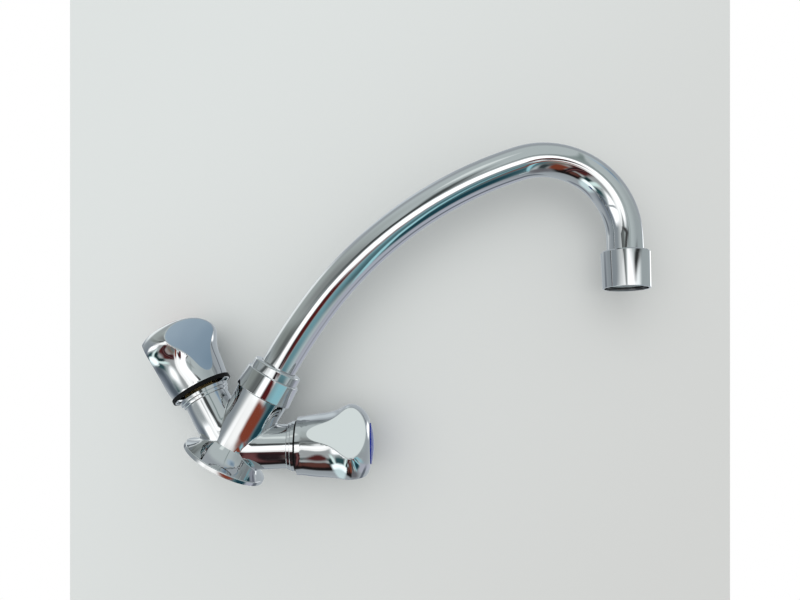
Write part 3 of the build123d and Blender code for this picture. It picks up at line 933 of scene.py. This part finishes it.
ROOM_PATCHES = (
    RoomPatch("right lilac wall", 122, -24, 36, 17, 0, 0.35, (160, 163, 173)),
    RoomPatch("right dark curtain", 116, -50, 7, 34, -10, 0.5, (92, 98, 106)),
    RoomPatch("left dark curtain", -122, -62, 8, 30, 14, 0.5, (98, 104, 110)),
    RoomPatch("far left window", -106, 80, 24, 13, 40, 0.6, (184, 192, 196)),
    RoomPatch("far right window", 108, 86, 24, 13, -42, 0.35, (244, 247, 248), 1.3),
    RoomPatch("far shelf", 0, -146, 70, 8, 0, 0.5, (110, 116, 124)),
    RoomPatch("far rail", 60, 118, 34, 3, -30, 0.5, (96, 102, 108)),
    RoomPatch("left wall", -80, 12, 42, 22, 0, 0.6, (148, 155, 153)),
    RoomPatch("left shade", -46, 11, 24, 8, -6, 0.8, (124, 128, 127)),
    RoomPatch("left low wall", -76, -28, 34, 20, 0, 0.6, (128, 135, 139)),
    RoomPatch("lower left", -62, -68, 32, 22, -40, 0.5, (112, 120, 129)),
    RoomPatch("lower left shade", -42, -76, 14, 13, 0, 0.7, (78, 87, 95)),
    RoomPatch("upper right wall", 62, 46, 34, 30, 10, 0.5, (148, 156, 157)),
    RoomPatch("ceiling fold", 5, 46, 29, 1.5, 93, 0.8, (118, 130, 128)),
    RoomPatch("right wall", 64, 12, 34, 11, 6, 0.5, (142, 148, 150)),
    RoomPatch("pale corner", -132, 10, 18, 30, 0, 0.4, (215, 220, 220)),
    RoomPatch("lamp rim", -10, 21, 10, 4.5, -48, 0.8, (66, 71, 71)),
    RoomPatch("lamp foot", -24, 9, 11, 4, 16, 0.8, (96, 101, 101)),
    RoomPatch("lamp edge", -12, 13.5, 9, 3, 22, 0.8, (34, 36, 36)),
    RoomPatch("pale zone", -6, -12, 42, 9, 0, 0.5, (196, 198, 197)),
    RoomPatch("pale floor", -8, -32, 12, 13, 0, 0.6, (150, 153, 153)),
    RoomPatch("beige", 26, -27, 12, 8, -20, 0.6, (112, 105, 97)),
    RoomPatch("grey tiles", 70, -62, 24, 15, 30, 0.6, (98, 98, 102)),
    RoomPatch("dark floor", 25, -76, 28, 17, 12, 0.3, (26, 22, 22)),
    RoomPatch("red curtain", 8, -36, 8, 18, 0, 0.4, (76, 36, 35)),
    RoomPatch("brown curtain", 33, -50, 19, 10, -50, 0.4, (110, 56, 40)),
    RoomPatch("brown chair", 16, -68, 8, 10, 0, 0.5, (84, 52, 46)),
    RoomPatch("dark post", 15, -45, 26, 4, -63, 0.5, (34, 27, 29)),
    RoomPatch("post edge", 14.5, -45, 26, 1.1, -63, 0.6, (98, 62, 62)),
    RoomPatch("teal shadow", -3, -62, 5, 14, 0, 0.5, (24, 50, 50)),
    RoomPatch("teal floor", -25, -68, 8, 16, 15, 0.5, (44, 72, 75)),
    RoomPatch("low window neck", -12, -56, 3.5, 17, 0, 0.6, (205, 226, 222)),
    RoomPatch("low window", -11, -82, 14, 11, 4, 0.4, (238, 250, 250), 1.15),
    RoomPatch("low window foot", -14, -108, 18, 20, -6, 0.4, (190, 208, 210)),
    RoomPatch("teal cloth", 56, -20, 29, 15, -18, 0.3, (74, 104, 110)),
    RoomPatch("teal shade", 72, -23, 13, 8, -24, 0.5, (26, 58, 68)),
    RoomPatch("dark under", 48, -43, 18, 6, -38, 0.6, (50, 58, 60)),
    RoomPatch("teal light", 54, -27, 27, 2.6, -29, 0.6, (142, 188, 196)),
    RoomPatch("teal light above", 64, -2.5, 27, 3.8, -2, 0.9, (128, 176, 186)),
    RoomPatch("column cyan", 66, -14, 20, 1.5, -4, 0.5, (150, 198, 205)),
    RoomPatch("window", -40, -33, 19, 14, 24, 0.35, (251, 252, 252), 1.2),
    RoomPatch("window bar", -39, -40, 26, 1.4, 58, 0.6, (150, 156, 157)),
    RoomPatch("left beam", -56, -2.5, 40, 4, 0, 0.6, (124, 130, 127)),
    RoomPatch("left beam shade", -38, -3, 13, 3, 0, 0.8, (92, 96, 95)),
    RoomPatch("bright strip", -2, -11, 30, 4.5, 0, 0.5, (244, 245, 244), 1.1),
    RoomPatch("bright post", -4, -2, 11, 6, 0, 0.5, (240, 241, 240), 1.1),
    RoomPatch("column light", -9, -17, 24, 2.6, 0, 0.9, (240, 240, 238), 1.05),
    RoomPatch("brown rail", 29, -16.6, 23, 2.4, -4, 0.35, (120, 58, 42)),
    RoomPatch("upper dark line", 20, 20, 28, 1.7, 37, 0.6, (46, 48, 48)),
    RoomPatch("upper light line", 18, 14.5, 24, 2.2, 36, 0.5, (236, 240, 240)),
    RoomPatch("lamp", 3, 4.5, 19, 6, 22, 0.4, (250, 250, 250), 1.2),
    RoomPatch("lamp end", 19, 4, 11, 5, -18, 0.4, (250, 250, 250), 1.2),
    RoomPatch("dark red bar", 19, -3.2, 12, 3.2, -6, 0.4, (76, 27, 26)),
    RoomPatch("dark red bar edge", 17, -7.5, 8, 2.2, -20, 0.6, (36, 27, 29)),
    RoomPatch("window frame", -13, 7.5, 23, 1, 35, 0.6, (62, 62, 62)),
    RoomPatch("window frame left", -46, -7.5, 20, 0.9, 8, 0.7, (74, 78, 78)),
    RoomPatch("white card", -29, 43, 7, 7, 0, 0.4, (207, 214, 212)),
    RoomPatch("blue window", 20, 75, 10, 8, 0, 0.6, (152, 168, 180)),
    RoomPatch("blue window shade", 26, 77, 6, 6, 0, 1, (112, 132, 148)),
)


@dataclass
class Room:
    """The world: a pale studio that the camera sees plain and the chrome sees with its patches.

    The ceiling and the two table colours are what the chrome shows, 0 to 255. It mirrors more of the light
    at a slant, so each has its own share, and the patches have the front's. A rise is where one gives way
    to the next, from front to back.
    """

    shown: tuple[float, float, float] = (1.0, 1.0, 1.0)
    ceiling: tuple[int, int, int] = (168, 176, 176)
    front_share: float = 0.60
    table_side: tuple[int, int, int] = (152, 158, 162)
    side_share: float = 0.68
    side_rise: tuple[float, float] = (-0.15, 0.15)
    table_deep: tuple[int, int, int] = (174, 181, 186)
    deep_share: float = 0.80
    deep_rise: tuple[float, float] = (0.25, 0.9)
    light: tuple[float, float, float] = (0.98, 1.0, 1.0)
    light_strength: float = 0.64

    def build(self) -> None:
        """Build the world: one background for the camera, one for lighting and one for the chrome."""
        world = bpy.data.worlds.new("studio")
        bpy.context.scene.world = world
        world.use_nodes = True
        world.node_tree.nodes.clear()
        wiring = Wiring(world.node_tree)
        path = wiring.add("ShaderNodeLightPath").outputs
        mirrored = self.background(wiring, self.mirrored_room(wiring))
        lit = self.background(wiring, opaque(self.light), self.light_strength)
        shown = self.background(wiring, opaque(self.shown))
        in_chrome = wiring.calculate("SUBTRACT", path["Is Glossy Ray"], path["Is Transmission Ray"])
        unseen = wiring.mix_shaders(in_chrome, lit, mirrored)
        whole = wiring.mix_shaders(path["Is Camera Ray"], unseen, shown)
        wiring.add("ShaderNodeOutputWorld", {"Surface": whole})

    @staticmethod
    def background(wiring: Wiring, colour: object, strength: float = 1.0) -> bpy.types.NodeSocket:
        """Add a background of a colour."""
        node = wiring.add("ShaderNodeBackground", {"Color": colour, "Strength": strength})
        return node.outputs["Background"]

    def mirrored_room(self, wiring: Wiring) -> bpy.types.NodeSocket:
        """Colour the room by direction: ceiling, table, and every patch over them in turn.

        Args:
            wiring: The world's wiring.

        Returns:
            The room's colour.
        """
        direction = wiring.add("ShaderNodeTexCoord").outputs["Generated"]
        back = wiring.add("ShaderNodeSeparateXYZ", {"Vector": direction}).outputs["Y"]
        ceiling = mirrored_light(self.ceiling, self.front_share)
        side = mirrored_light(self.table_side, self.side_share)
        deep = mirrored_light(self.table_deep, self.deep_share)
        colour = wiring.mix(wiring.ramp(back, *self.side_rise), ceiling, side)
        colour = wiring.mix(wiring.ramp(back, *self.deep_rise), colour, deep)
        chart = wiring.place(room_chart_group(), {"Direction": direction}).outputs
        group = room_patch_group()
        for patch in ROOM_PATCHES:
            inputs = {
                "Room": colour,
                "Patch": mirrored_light(patch.seen, self.front_share, patch.brightness),
                "Right": chart["Right"],
                "Up": chart["Up"],
                "Middle Right": patch.right,
                "Middle Up": patch.up,
                "Roll": math.radians(patch.roll),
                "Half Along": patch.half_along,
                "Half Across": patch.half_across,
                "Inner": 1.0 - patch.soft,
                "Outer": 1.0 + patch.soft,
            }
            node = wiring.place(group, inputs)
            node.label = patch.name
            colour = node.outputs["Room"]
        return colour


def room_chart_group() -> bpy.types.NodeTree:
    """Build the group that turns a direction into degrees to the right and up from the user's side.

    Returns:
        The node group, with outputs Right and Up.
    """
    outputs = {"Right": Socket.NUMBER, "Up": Socket.NUMBER}
    wiring, given, result = open_group("room_chart", {"Direction": Socket.VECTOR}, outputs)
    split = wiring.add("ShaderNodeSeparateXYZ", {"Vector": given["Direction"]}).outputs
    front = wiring.calculate("MULTIPLY", split["Y"], -1.0)
    away = wiring.calculate("DEGREES", wiring.calculate("ARCCOSINE", front))
    squares = [wiring.calculate("POWER", split[axis], 2.0) for axis in "XZ"]
    flat = wiring.calculate("SQRT", wiring.calculate("ADD", *squares))
    least_flat = 0.0001
    scale = wiring.calculate("DIVIDE", away, wiring.calculate("MAXIMUM", flat, least_flat))
    for label, axis in (("Right", "X"), ("Up", "Z")):
        wiring.feed(result[label], wiring.calculate("MULTIPLY", split[axis], scale))
    return wiring.tree


def room_patch_group() -> bpy.types.NodeTree:
    """Build the group that lays one rounded, soft-edged patch over the room's colour.

    Returns:
        The node group, with output Room.
    """
    places = ("Right", "Up", "Middle Right", "Middle Up", "Roll")
    sizes = ("Half Along", "Half Across", "Inner", "Outer")
    inputs = {"Room": Socket.COLOUR, "Patch": Socket.COLOUR, **dict.fromkeys(places + sizes, 0.0)}
    wiring, given, result = open_group("room_patch", inputs, {"Room": Socket.COLOUR})
    right = wiring.calculate("SUBTRACT", given["Right"], given["Middle Right"])
    up = wiring.calculate("SUBTRACT", given["Up"], given["Middle Up"])
    turn_cos = wiring.calculate("COSINE", given["Roll"])
    turn_sin = wiring.calculate("SINE", given["Roll"])
    along = wiring.calculate("MULTIPLY_ADD", right, turn_cos, wiring.calculate("MULTIPLY", up, turn_sin))
    up_turned = wiring.calculate("MULTIPLY", up, turn_cos)
    across = wiring.calculate("SUBTRACT", up_turned, wiring.calculate("MULTIPLY", right, turn_sin))
    squareness = 4.0
    powers = []
    for distance, half in ((along, "Half Along"), (across, "Half Across")):
        share = wiring.calculate("ABSOLUTE", wiring.calculate("DIVIDE", distance, given[half]))
        powers.append(wiring.calculate("POWER", share, squareness))
    outline = wiring.calculate("POWER", wiring.calculate("ADD", *powers), 1 / squareness)
    cover = wiring.ramp(outline, given["Inner"], given["Outer"], 1.0, 0.0)
    wiring.feed(result["Room"], wiring.mix(cover, given["Room"], given["Patch"]))
    return wiring.tree


@dataclass(frozen=True)
class PhotoCamera:
    """The camera of the photograph, fitted to the tap's outlines."""

    place: tuple[float, float, float] = (0.059298, -0.312864, 0.093678)
    look: tuple[float, float, float] = (-0.0566, 0.9928, 0.1052)
    up: tuple[float, float, float] = (-0.4807, -0.1195, 0.8687)
    focal_px: float = 548.1
    width_px: int = 800
    height_px: int = 600
    sensor: float = 36.0
    nearest: float = 0.01
    farthest: float = 20.0

    def axes(self) -> tuple[Vector, Vector, Vector]:
        """Work out the camera's axes.

        Returns:
            Its directions to the right, up and backwards.
        """
        back = -Vector(self.look).normalized()
        right = Vector(self.up).cross(back).normalized()
        return right, back.cross(right), back

    def build(self) -> None:
        """Add the camera and make it the scene's own."""
        data = bpy.data.cameras.new("photo_camera")
        data.sensor_width = self.sensor
        data.lens = self.focal_px * self.sensor / self.width_px
        data.clip_start = self.nearest
        data.clip_end = self.farthest
        camera = bpy.data.objects.new("photo_camera", data)
        bpy.context.scene.collection.objects.link(camera)
        right, up, back = self.axes()
        turn = Matrix((right, up, back)).transposed().to_4x4()
        camera.matrix_world = Matrix.Translation(self.place) @ turn
        bpy.context.scene.camera = camera

    def on_plane(self, across_px: float, down_px: float, plane_y: float) -> Vector:
        """Find where a pixel of the photograph meets a plane square to Y.

        Args:
            across_px: The pixel's column.
            down_px: The pixel's row.
            plane_y: The plane's place along Y.

        Returns:
            The point on the plane.
        """
        right, up, back = self.axes()
        from_middle = right * (across_px - self.width_px / 2) - up * (down_px - self.height_px / 2)
        ray = from_middle - back * self.focal_px
        place = Vector(self.place)
        return place + ray * ((plane_y - place.y) / ray.y)


@dataclass
class Table:
    """The pale table top that the tap lies on: a sheet behind it, seen from the front only."""

    behind: float = 0.0262
    pale: tuple[float, float, float] = (0.815, 0.84, 0.83)
    # Painted shade: the table fades from pale to this darker tint towards the lower right, standing in for
    # the light's fall-off
    dull: tuple[float, float, float] = (0.715, 0.715, 0.70)
    pale_px: tuple[float, float] = (160.0, 220.0)
    painted_shade_px: tuple[float, float] = (700.0, 600.0)
    ease: tuple[float, float] = (-0.2, 1.2)
    roughness: float = 0.9
    left_px: float = 70.0
    right_px: float = 730.0
    spare_px: float = 40.0

    def build(self, camera: PhotoCamera) -> None:
        """Model the sheet where the photograph shows it, and dress it.

        Args:
            camera: The photograph's camera.
        """
        left, right = self.left_px, self.right_px
        low, high = camera.height_px + self.spare_px, -self.spare_px
        pixels = ((left, low), (right, low), (right, high), (left, high))
        corners = [camera.on_plane(across, down, self.behind) for across, down in pixels]
        mesh = bpy.data.meshes.new("table_top")
        mesh.from_pydata(corners, [], [(0, 1, 2, 3)])
        sheet = bpy.data.objects.new("table_top", mesh)
        bpy.context.scene.collection.objects.link(sheet)
        mesh.materials.append(self.material(camera))
        sheet.visible_glossy = False

    def material(self, camera: PhotoCamera) -> bpy.types.Material:
        """Build the table's material: paler to the upper left with painted shade towards the lower right,
        and clear when seen from behind.

        Args:
            camera: The photograph's camera.

        Returns:
            The material.
        """
        made = NodeMaterial("table_top")
        wiring = made.wiring
        start = camera.on_plane(*self.pale_px, self.behind)
        way = camera.on_plane(*self.painted_shade_px, self.behind) - start
        place = wiring.add("ShaderNodeTexCoord").outputs["Object"]
        offset = wiring.add("ShaderNodeVectorMath", {0: place, 1: start})
        offset.operation = "SUBTRACT"
        step = way / way.length_squared
        share = wiring.add("ShaderNodeVectorMath", {0: offset.outputs["Vector"], 1: step})
        share.operation = "DOT_PRODUCT"
        eased = wiring.ramp(share.outputs["Value"], *self.ease)
        # Painted shade: darker towards the lower right, where the light falls off
        tint = wiring.mix(eased, opaque(self.pale), opaque(self.dull))
        made.give({"Base Color": tint, "Roughness": self.roughness, "Specular IOR Level": 0.0})
        clear = wiring.add("ShaderNodeBsdfTransparent").outputs["BSDF"]
        from_behind = wiring.add("ShaderNodeNewGeometry").outputs["Backfacing"]
        whole = wiring.mix_shaders(from_behind, made.shader.outputs["BSDF"], clear)
        wiring.feed(made.material.node_tree.nodes["Material Output"].inputs["Surface"], whole)
        return made.material


@dataclass
class FrontLight:
    """Broad soft lamp over the user's side, a little to the upper left, that the chrome doesn't mirror."""

    heading: tuple[float, float, float] = (0.37, 0.92, -0.03)
    strength: float = 0.92
    spread: float = 75.0

    def build(self) -> None:
        """Add the lamp."""
        data = bpy.data.lights.new("front_light", "SUN")
        data.energy = self.strength
        data.angle = math.radians(self.spread)
        lamp = bpy.data.objects.new("front_light", data)
        lamp.rotation_euler = Vector(self.heading).to_track_quat("-Z", "Y").to_euler()
        lamp.visible_glossy = False
        bpy.context.scene.collection.objects.link(lamp)


def main() -> None:
    """Build the looks around the frame."""
    logging.basicConfig(level=logging.INFO, format="%(name)s: %(message)s")
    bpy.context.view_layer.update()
    bpy.context.scene.view_settings.view_transform = "Standard"
    camera = PhotoCamera()
    camera.build()
    Table().build(camera)
    Room().build()
    FrontLight().build()
    dresser = Dresser()
    dresser.build()
    dresser.dress(frame["nodes"])
    for side in Side:
        IndexButton(side).build(dresser)
    OutletMesh().build(dresser)
    for thread in (inlet_thread(Side.COLD), inlet_thread(Side.HOT), STUD_THREAD):
        thread.build(dresser.materials[Finish.BRASS])


if __name__ == "__main__":
    main()
